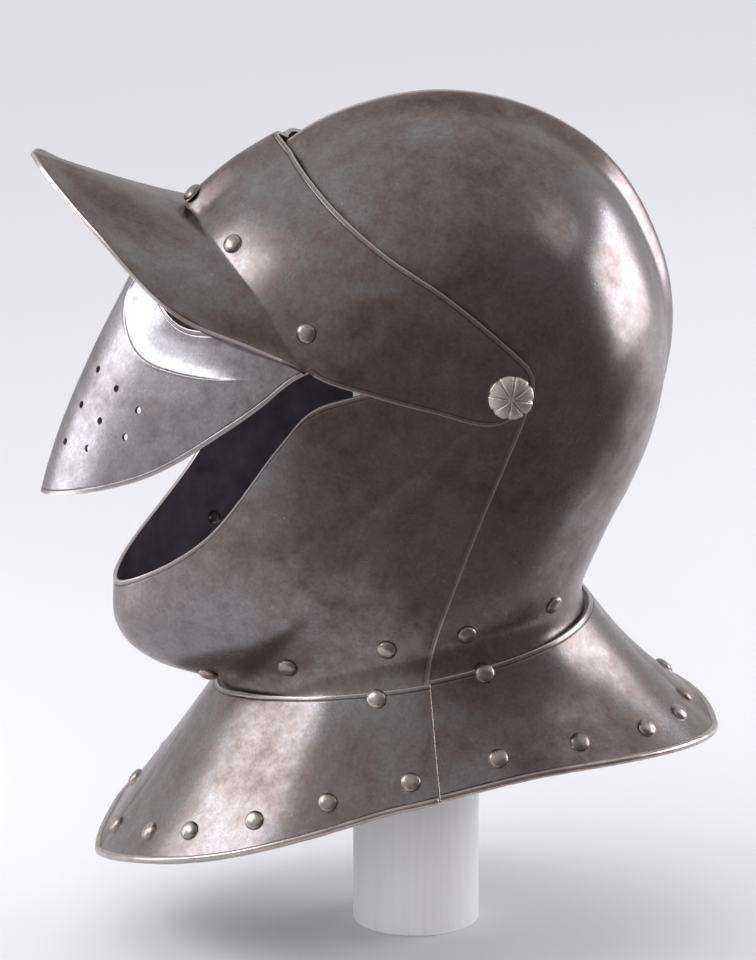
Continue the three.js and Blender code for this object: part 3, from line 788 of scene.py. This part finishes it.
def collar(node, surface, middle, seam, body):
    bm = new_sheet()
    add_sheet(bm, surface, 90, EDGE_ROWS, PLAIN_ROWS, 36)
    mirror_sheet(bm)
    thicken(bm, start_incised, PLATE)
    rim = bm.verts.layers.float["rim"]
    for v in bm.verts:
        around = math.degrees(math.atan2(abs(v.co.y), NECK_X - v.co.x))
        v[rim] = min(v[rim], abs(around - seam) * math.radians(COLLAR_SIDE))
    add_bead(bm, surface, middle)
    return finish_plate(node, bm, brown_steel, body)


collar("front_collar", front_collar_surface, "start", FRONT_SEAM, "bevor_body")
collar("rear_collar", rear_collar_surface, "end", REAR_SEAM, "skull_body")


# Breaths of the face guard, cut through the plate
def cut_breaths(piece):
    cutters = bmesh.new()
    for radius, angle in BREATHS:
        flat = around_pivot(radius, angle)
        point, out = lift(GUARD, flat), outward_at(GUARD, flat)
        for side in (1, -1):
            place, way = Vector((point.x, point.y * side, point.z)), Vector((out.x, out.y * side, out.z))
            made = bmesh.ops.create_cone(cutters, cap_ends=True, segments=32, radius1=BREATH_RADIUS * MM,
                                         radius2=BREATH_RADIUS * MM, depth=10 * MM)
            turn = Vector((0, 0, 1)).rotation_difference(way).to_matrix()
            bmesh.ops.rotate(cutters, verts=made["verts"], matrix=turn)
            bmesh.ops.translate(cutters, verts=made["verts"], vec=place * MM)
    mesh = bpy.data.meshes.new("breath_cutter")
    cutters.to_mesh(mesh)
    cutters.free()
    mesh.materials.append(inner_black)
    cutter = bpy.data.objects.new("breath_cutter", mesh)
    bpy.context.scene.collection.objects.link(cutter)
    hole = piece.modifiers.new("breaths", "BOOLEAN")
    hole.operation, hole.solver, hole.object = "DIFFERENCE", "EXACT", cutter
    cut = bpy.data.meshes.new_from_object(piece.evaluated_get(bpy.context.evaluated_depsgraph_get()))
    piece.modifiers.clear()
    cut.set_sharp_from_angle(angle=math.radians(45))
    old, piece.data = piece.data, cut
    bpy.data.meshes.remove(old)
    bpy.data.objects.remove(cutter)
    bpy.data.meshes.remove(mesh)


cut_breaths(guard)


# Rivets: low hand-closed domes
def rivet(node, point, out, body, inner_end=False):
    bm = bmesh.new()
    rim = bm.verts.layers.float.new("rim")
    bmesh.ops.create_uvsphere(bm, u_segments=28, v_segments=16, radius=1.0)
    bmesh.ops.bisect_plane(bm, geom=bm.verts[:] + bm.edges[:] + bm.faces[:], plane_co=(0, 0, 0),
                           plane_no=(0, 0, 1), clear_inner=True)
    bmesh.ops.edgeloop_fill(bm, edges=[e for e in bm.edges if e.is_boundary])
    for v in bm.verts:
        flatness = v.co.z ** 0.75 if v.co.z > 0 else 0.0
        v.co = Vector((v.co.x * RIVET_RADIUS, v.co.y * RIVET_RADIUS, flatness * RIVET_HEIGHT))
        v.co += v.co.normalized() * 0.22 * noise.noise(v.co / 2.6 + point)
    if inner_end:
        made = bmesh.ops.create_uvsphere(bm, u_segments=24, v_segments=12, radius=3.2)["verts"]
        bmesh.ops.scale(bm, vec=(1, 1, 0.45), verts=made)
        bmesh.ops.translate(bm, vec=(0, 0, -PLATE), verts=made)
    for v in bm.verts:
        v[rim] = 6.0
    bmesh.ops.recalc_face_normals(bm, faces=bm.faces[:])
    turn = Vector((0, 0, 1)).rotation_difference(out).to_matrix()
    bmesh.ops.rotate(bm, verts=bm.verts[:], matrix=turn)
    bmesh.ops.translate(bm, verts=bm.verts[:], vec=point - out * 0.15)
    bmesh.ops.scale(bm, vec=(MM, MM, MM), verts=bm.verts[:])
    return finish_piece(node + "_head", bm, [rivet_steel], body, [node])


def mirrored(v):
    return Vector((v.x, -v.y, v.z))


def rivet_pair(name, point, out, body):
    rivet(name + "_left", point, out, body)
    rivet(name + "_right", mirrored(point), mirrored(out), body)


# Rivets on the plates. Columns: name, plate, radius from the pivot axis, angle, body.
PLATE_RIVETS = [
    ("band_rivet_front", BAND, 136.4, 153.8, "visor_body"),
    ("band_rivet_side", BAND, 96, 163.2, "visor_body"),
    ("bevor_rivet_1", BEVOR, 202.2, 229.2, "bevor_body"),
    ("bevor_rivet_2", BEVOR, 172.9, 235.6, "bevor_body"),
    ("bevor_rivet_3", BEVOR, 139.7, 247.3, "bevor_body"),
    ("skull_rivet_side", SKULL, 124, -98, "skull_body"),
    ("skull_rivet_rear", SKULL, 118, -78, "skull_body"),
]
for name, home, radius, angle, body in PLATE_RIVETS:
    flat = around_pivot(radius, angle)
    rivet_pair(name, lift(home, flat), outward_at(home, flat), body)

brow = sample(BAND["rows"], 152.6)
brow_flat = around_pivot(brow[1] + brow[3], 152.6)
rivet("band_rivet_middle", Vector((brow_flat.x, 0, brow_flat.y)), middle_out(BAND, 152.6), "visor_body")
cheek = around_pivot(161.4, 220.4)
rivet("bevor_rivet_cheek", mirrored(lift(BEVOR, cheek)), mirrored(outward_at(BEVOR, cheek)), "bevor_body",
      inner_end=True)

# Rivets on the collars. Columns: name, plate, angle round the neck, share of the way down, body.
COLLAR_RIVETS = [
    ("front_collar_rivet_1", BEVOR, 18, 0.83, "bevor_body"),
    ("front_collar_rivet_2", BEVOR, 31, 0.815, "bevor_body"),
    ("front_collar_rivet_3", BEVOR, 47, 0.79, "bevor_body"),
    ("front_collar_rivet_4", BEVOR, 65.5, 0.78, "bevor_body"),
    ("front_collar_rivet_5", BEVOR, 88, 0.785, "bevor_body"),
    ("front_collar_rivet_top", BEVOR, 77, 0.06, "bevor_body"),
    ("rear_collar_rivet_1", SKULL, 165, 0.805, "skull_body"),
    ("rear_collar_rivet_2", SKULL, 151.5, 0.815, "skull_body"),
    ("rear_collar_rivet_3", SKULL, 133.5, 0.805, "skull_body"),
    ("rear_collar_rivet_4", SKULL, 112.3, 0.79, "skull_body"),
    ("rear_collar_rivet_top", SKULL, 115, 0.06, "skull_body"),
]


def collar_seat(home, around, down):
    lap = 2.3 * smooth(around, 78, 93) if home is BEVOR else 0.0
    point = collar_point(home, around, down, lap)
    over_around = collar_point(home, around + 0.5, down, lap) - collar_point(home, around - 0.5, down, lap)
    over_down = collar_point(home, around, down + 0.01, lap) - collar_point(home, around, down - 0.01, lap)
    out = over_down.cross(over_around).normalized()
    if out.dot(Vector((point.x - NECK_X, point.y, 0))) < 0:
        out.negate()
    return point, out


for name, home, around, down, body in COLLAR_RIVETS:
    rivet_pair(name, *collar_seat(home, around, down), body)
for name, home, around, down, body in [("front_collar_rivet_middle", BEVOR, 0, 0.84, "bevor_body"),
                                       ("rear_collar_rivet_middle", SKULL, 180, 0.795, "skull_body")]:
    point, out = collar_seat(home, around, down)
    out.y = point.y = 0.0
    rivet(name, point, out.normalized(), body)


# Pivot heads: a dome cut into petals
ROSETTE_RADIUS, ROSETTE_HEIGHT, ROSETTE_PETALS, ROSETTE_TURN = 10.5, 4.4, 8, 35.0


def rosette(node, side):
    rings, steps = 22, 192
    bm = bmesh.new()
    bmesh.ops.create_grid(bm, x_segments=rings, y_segments=steps, size=0.5)
    rim = bm.verts.layers.float.new("rim")
    for v in bm.verts:
        share, turn = v.co.x + 0.5, (v.co.y + 0.5) * 2 * math.pi
        wave = abs(math.sin(ROSETTE_PETALS / 2 * (turn - math.radians(ROSETTE_TURN))))
        lobe = 1 - (1 - wave) ** 4
        reach = min(share / 0.93, 1.0)
        radius = ROSETTE_RADIUS * reach * (1 - 0.07 * (1 - lobe) * reach**3)
        dome = ROSETTE_HEIGHT * (1 - 0.72 * reach**2.6)
        cut = 1.5 * (1 - lobe) * smooth(reach, 0.04, 0.3)
        height = dome - cut if share <= 0.93 else mix(dome - cut, -0.2, (share - 0.93) / 0.07)
        away = side * (BAND["half"] + 0.3 + height)
        v.co = Vector((PIVOT.x + radius * math.cos(turn), away, PIVOT.y + radius * math.sin(turn)))
        v[rim] = 6.0
    bmesh.ops.remove_doubles(bm, verts=bm.verts[:], dist=0.004)
    bmesh.ops.edgeloop_fill(bm, edges=[e for e in bm.edges if e.is_boundary])
    bmesh.ops.recalc_face_normals(bm, faces=bm.faces[:])
    bmesh.ops.scale(bm, vec=(MM, MM, MM), verts=bm.verts[:])
    return finish_piece(node + "_head", bm, [rosette_steel], "skull_body", [node])


rosette("rosette_left", -1)
rosette("rosette_right", 1)


# Post
def post():
    """A turned post whose top is rounded off in three steps under the skull."""
    bm = bmesh.new()
    shaft = POST_TOP - 15
    bmesh.ops.create_cone(bm, cap_ends=True, segments=128, radius1=POST_RADIUS, radius2=POST_RADIUS,
                          depth=shaft)
    bmesh.ops.translate(bm, verts=bm.verts[:], vec=(0, 0, shaft / 2))
    lower = [e for e in bm.edges if all(v.co.z < 1 for v in e.verts)]
    bmesh.ops.bevel(bm, geom=lower, offset=0.8, segments=3, profile=0.5, affect="EDGES", material=-1)
    top = max(bm.faces, key=lambda f: f.calc_center_median().z)
    for inward, upward in ((3, 5), (9, 7), (10, 2)):
        bmesh.ops.inset_individual(bm, faces=[top], thickness=inward, depth=upward)
    bmesh.ops.scale(bm, vec=(MM, MM, MM), verts=bm.verts[:])
    return finish_piece("post_turned", bm, [white_paint], "skull_body", ["stand_post"])


post()


# Floor, light and camera
FLOOR_HALF, FLOOR_FRONT, FLOOR_TURN = 8.0, 0.19, math.radians(25)


def pale_floor():
    """A plain pale floor with its front edge a little before the helmet and the dim room beyond."""
    material, tree = new_material("pale_studio_floor")
    shader = add(tree, "ShaderNodeBsdfPrincipled", {"Base Color": linear("#e4e4e5"), "Roughness": 0.9})
    add(tree, "ShaderNodeOutputMaterial", {"Surface": shader.outputs[0]})
    bm = bmesh.new()
    bmesh.ops.create_grid(bm, x_segments=1, y_segments=1, size=FLOOR_HALF)
    bmesh.ops.translate(bm, verts=bm.verts[:], vec=(0, FLOOR_HALF - FLOOR_FRONT, 0))
    bmesh.ops.rotate(bm, verts=bm.verts[:], matrix=Matrix.Rotation(FLOOR_TURN, 3, "Z"))
    mesh = bpy.data.meshes.new("floor")
    bm.to_mesh(mesh)
    bm.free()
    mesh.materials.append(material)
    floor = bpy.data.objects.new("floor", mesh)
    bpy.context.scene.collection.objects.link(floor)


def soft_box(name, azimuth, elevation, distance, width, height, radiance, seen=True):
    """A soft light at a direction round the helmet: azimuth 0 is the camera's side, 90 is +X."""
    a, e = math.radians(azimuth), math.radians(elevation)
    back = Vector((math.sin(a) * math.cos(e), -math.cos(a) * math.cos(e), math.sin(e)))
    light = bpy.data.lights.new(name, "AREA")
    light.shape, light.size, light.size_y = "RECTANGLE", width, height
    light.energy = radiance * math.pi * width * height
    light.color = linear("#f8f9ff")[:3]
    lamp = bpy.data.objects.new(name, light)
    lamp.location = Vector((0, 0, 0.25)) + back * distance
    lamp.rotation_euler = back.to_track_quat("Z", "Y").to_euler()
    lamp.visible_glossy = seen
    bpy.context.scene.collection.objects.link(lamp)


def studio_air():
    """Dim air on the camera's side of the room and a pale wall behind the helmet."""
    world = bpy.data.worlds.new("studio_air")
    bpy.context.scene.world = world
    world.use_nodes = True
    tree = world.node_tree
    tree.nodes.clear()
    way = add(tree, "ShaderNodeTexCoord").outputs["Generated"]
    away = add(tree, "ShaderNodeVectorMath", {0: way, 1: (-0.354, 0.354, 0.2)}, operation="DOT_PRODUCT")
    share = add(tree, "ShaderNodeMath", {0: away.outputs["Value"], 1: 0.5}, operation="ADD")
    tone = ramp(tree, share.outputs[0],
                [(0.0, linear("#7d7577")), (0.25, linear("#8b8385")), (0.46, linear("#c6c4c5")),
                 (1.0, linear("#e6e6e8"))])
    glow = add(tree, "ShaderNodeBackground", {"Color": tone, "Strength": 1.0})
    add(tree, "ShaderNodeOutputWorld", {"Surface": glow.outputs[0]})


pale_floor()
studio_air()
soft_box("left_box", -88, 29, 0.92, 0.66, 0.34, 4.8)
soft_box("left_strip", -106, 1, 0.82, 0.3, 0.5, 2.8)
soft_box("right_box", 103, 8, 1.4, 1.1, 0.72, 5.4)
soft_box("right_panel", 72, 42, 1.6, 0.7, 0.5, 1.0)
soft_box("ceiling", 180, 62, 2.4, 3.0, 2.6, 0.75, seen=False)
soft_box("front_fill", -15, 20, 2.6, 2.6, 1.6, 1.7, seen=False)

AZIMUTH, ELEVATION, LENS, DISTANCE = math.radians(-5.3), math.radians(18.0), 840.0, 10.304
view_back = Vector((math.sin(AZIMUTH) * math.cos(ELEVATION), -math.cos(AZIMUTH) * math.cos(ELEVATION),
                    math.sin(ELEVATION)))
lens = bpy.data.cameras.new("photo_camera")
lens.lens, lens.sensor_width, lens.clip_end = LENS, 36.0, 50.0
camera = bpy.data.objects.new("photo_camera", lens)
camera.location = Vector((-0.0176, 0, 0.2128)) + view_back * DISTANCE
camera.rotation_euler = view_back.to_track_quat("Z", "Y").to_euler()
bpy.context.scene.collection.objects.link(camera)
bpy.context.scene.camera = camera
bpy.context.scene.view_settings.view_transform = "Standard"
